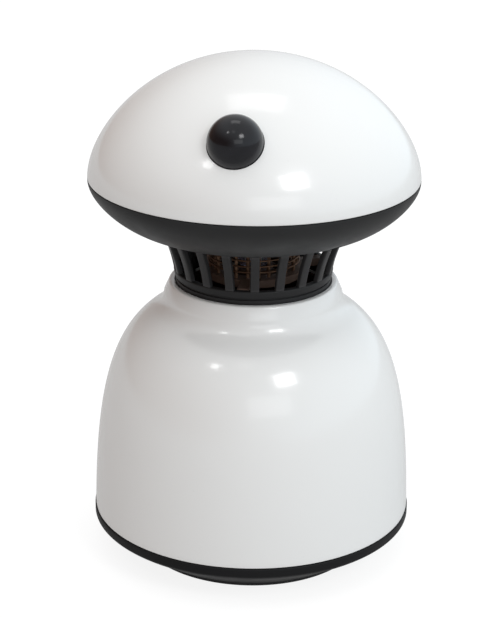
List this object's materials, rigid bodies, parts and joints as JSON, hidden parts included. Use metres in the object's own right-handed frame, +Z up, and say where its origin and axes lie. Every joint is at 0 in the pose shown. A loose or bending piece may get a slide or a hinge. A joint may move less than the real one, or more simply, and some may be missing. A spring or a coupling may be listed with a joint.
{
  "type": "electric bug zapper",
  "caption": "Mushroom-shaped table-top insect killer: dome cap with push button, slotted neck round a lamp and grid, bell body with fan, lift-off base dish with catch tray.",
  "frame": {"origin": "on the table, under the middle of the foot ring", "axes": "+Z up along the axis of revolution, push button towards -Y, power inlet towards +Y"},
  "size_m": [0.15, 0.15, 0.235],
  "materials": {
    "white_plastic": "gloss white moulded ABS",
    "charcoal_plastic": "satin charcoal moulded plastic",
    "black_plastic": "fine matt black moulded plastic",
    "button_gloss": "polished black",
    "black_rubber": "matt rubber",
    "cable_rubber": "insulated wire",
    "lead_red": "red insulated high-voltage wire",
    "connector_plastic": "natural nylon",
    "steel": "plated steel",
    "bronze_wire": "dull bronze-plated wire",
    "copper_winding": "enamelled copper winding",
    "circuit_board": "green solder mask",
    "capacitor_film": "dipped film capacitor",
    "lamp_clear": "clear tube with a faint violet tint",
    "led_phosphor": "LED package"
  },
  "bodies": {
    "base": {"base_dish": "charcoal_plastic", "rubber_foot": "black_rubber", "base_seal": "black_rubber"},
    "catch_tray": {"catch_tray": "black_plastic"},
    "fan": {"fan_rotor": "black_plastic", "fan_shaft": "steel"},
    "button": {"power_button": "button_gloss", "switch_plunger": "connector_plastic"},
    "upper": {"body_shell": "white_plastic", "exhaust_screen": "black_plastic", "inlet_socket": "steel", "inlet_board": "circuit_board", "supply_lead": "cable_rubber", "lead_connector": "connector_plastic", "neck_lower_ring": "charcoal_plastic", "neck_slats": "charcoal_plastic", "neck_upper_ring": "charcoal_plastic", "wiring_conduit": "charcoal_plastic", "cap_underside": "charcoal_plastic", "cap_shell": "white_plastic", "cap_screws": "steel", "grid_upper_holder": "black_plastic", "grid_lower_holder": "black_plastic", "live_wires": "bronze_wire", "ground_wires": "bronze_wire", "live_rings": "bronze_wire", "ground_rings": "bronze_wire", "lamp_socket": "connector_plastic", "lamp_cover": "lamp_clear", "led_board": "circuit_board", "uv_leds": "led_phosphor", "intake_duct": "black_plastic", "fan_frame": "black_plastic", "fan_motor": "copper_winding", "fan_screws": "steel", "control_board": "circuit_board", "board_screws": "steel", "hv_transformer": "copper_winding", "hv_capacitors": "capacitor_film", "hv_diodes": "black_plastic", "drive_transistor": "black_plastic", "grid_leads": "lead_red", "lamp_leads": "cable_rubber", "switch_leads": "cable_rubber", "button_sleeve": "black_plastic", "switch_board": "circuit_board", "sleeve_screws": "steel", "power_switch": "black_plastic", "button_spring": "steel"}
  },
  "joints": [
    {"name": "lift_off", "type": "slide", "parent": "base", "child": "upper", "axis": [0, 0, 1], "range_m": [0, 0.09]},
    {"name": "tray_lift", "type": "slide", "parent": "base", "child": "catch_tray", "axis": [0, 0, 1], "range_m": [0, 0.045]},
    {"name": "fan_spin", "type": "hinge", "parent": "upper", "child": "fan", "pos_m": [0, 0, 0.1], "axis": [0, 0, 1], "continuous": true},
    {"name": "button_press", "type": "slide", "parent": "upper", "child": "button", "axis": [0, 0.71, -0.7042], "range_m": [0, 0.0015], "stiffness_N_per_m": 600, "springref_m": -0.001, "deforming": ["button_spring"]}
  ]
}
